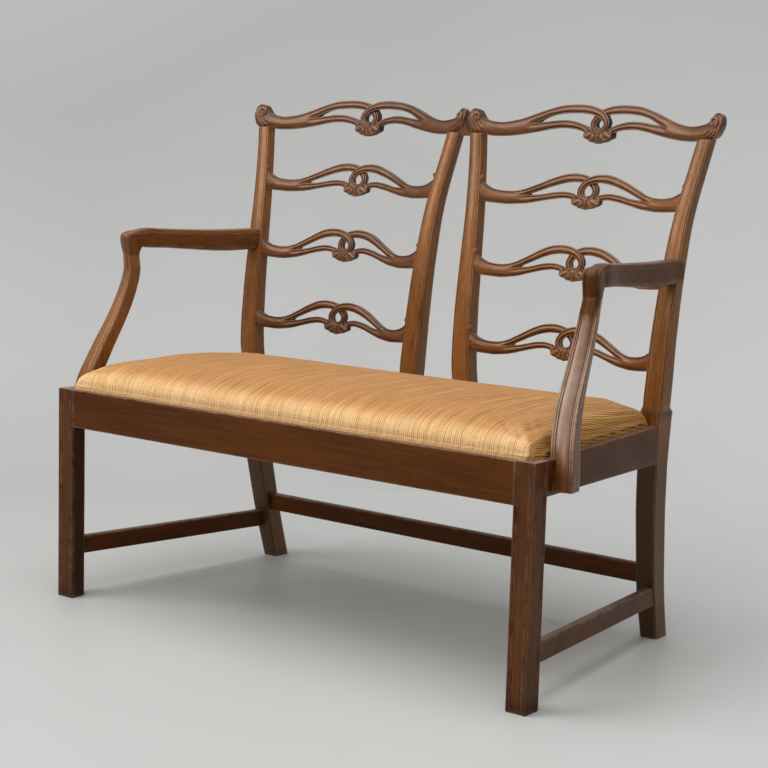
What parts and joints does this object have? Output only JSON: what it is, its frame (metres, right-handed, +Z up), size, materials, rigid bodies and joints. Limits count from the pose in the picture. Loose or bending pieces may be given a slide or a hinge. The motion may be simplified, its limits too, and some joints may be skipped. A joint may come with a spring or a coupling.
{
  "type": "chair-back settee",
  "caption": "Two-seat open-arm settee with a pair of pierced ladder backs, square moulded front legs, stretchers and an upholstered drop-in seat.",
  "frame": {"origin": "on the floor, below the middle of the settee's box", "axes": "+X to the viewer's right from the front, +Y to the back, +Z up"},
  "size_m": [1.1776, 0.645, 1.0015],
  "materials": {
    "leg_mahogany": "dark red-brown mahogany, waxed, worn at the edges",
    "back_mahogany": "warm brown mahogany, waxed satin sheen",
    "rail_mahogany": "dark brown mahogany, waxed satin sheen",
    "plain_beech": "plain unpolished beech",
    "jute_webbing": "woven jute",
    "hessian": "open plain weave",
    "hair_stuffing": "matt curled hair",
    "ochre_chenille": "ribbed ochre chenille, matt with a soft sheen along the ribs"
  },
  "bodies": {
    "frame": {"front_leg_left": "leg_mahogany", "front_leg_right": "leg_mahogany", "back_leg_left": "back_mahogany", "back_leg_right": "back_mahogany", "centre_stile_left": "back_mahogany", "centre_stile_right": "back_mahogany", "crest_rail_left": "back_mahogany", "crest_rail_right": "back_mahogany", "crest_bridge": "back_mahogany", "slat_upper_left": "back_mahogany", "slat_upper_right": "back_mahogany", "slat_middle_left": "back_mahogany", "slat_middle_right": "back_mahogany", "slat_lower_left": "back_mahogany", "slat_lower_right": "back_mahogany", "arm_left": "back_mahogany", "arm_right": "back_mahogany", "arm_support_left": "back_mahogany", "arm_support_right": "back_mahogany", "front_seat_rail": "rail_mahogany", "back_seat_rail": "rail_mahogany", "side_seat_rail_left": "rail_mahogany", "side_seat_rail_right": "rail_mahogany", "side_stretcher_left": "rail_mahogany", "side_stretcher_right": "rail_mahogany", "rear_stretcher": "rail_mahogany", "seat_ledge": "plain_beech", "seat_brace": "plain_beech", "corner_block_front_left": "plain_beech", "corner_block_front_right": "plain_beech", "corner_block_back_left": "plain_beech", "corner_block_back_right": "plain_beech"},
    "drop_in_seat": {"seat_cover": "ochre_chenille", "seat_stuffing": "hair_stuffing", "base_cloth": "hessian", "webbing": "jute_webbing", "seat_frame_front": "plain_beech", "seat_frame_back": "plain_beech", "seat_frame_left": "plain_beech", "seat_frame_right": "plain_beech", "seat_frame_bar": "plain_beech"}
  },
  "joints": [
    {"name": "drop_in_seat_lift", "type": "slide", "parent": "frame", "child": "drop_in_seat", "axis": [0, 0, 1], "range_m": [0, 0.03]}
  ]
}
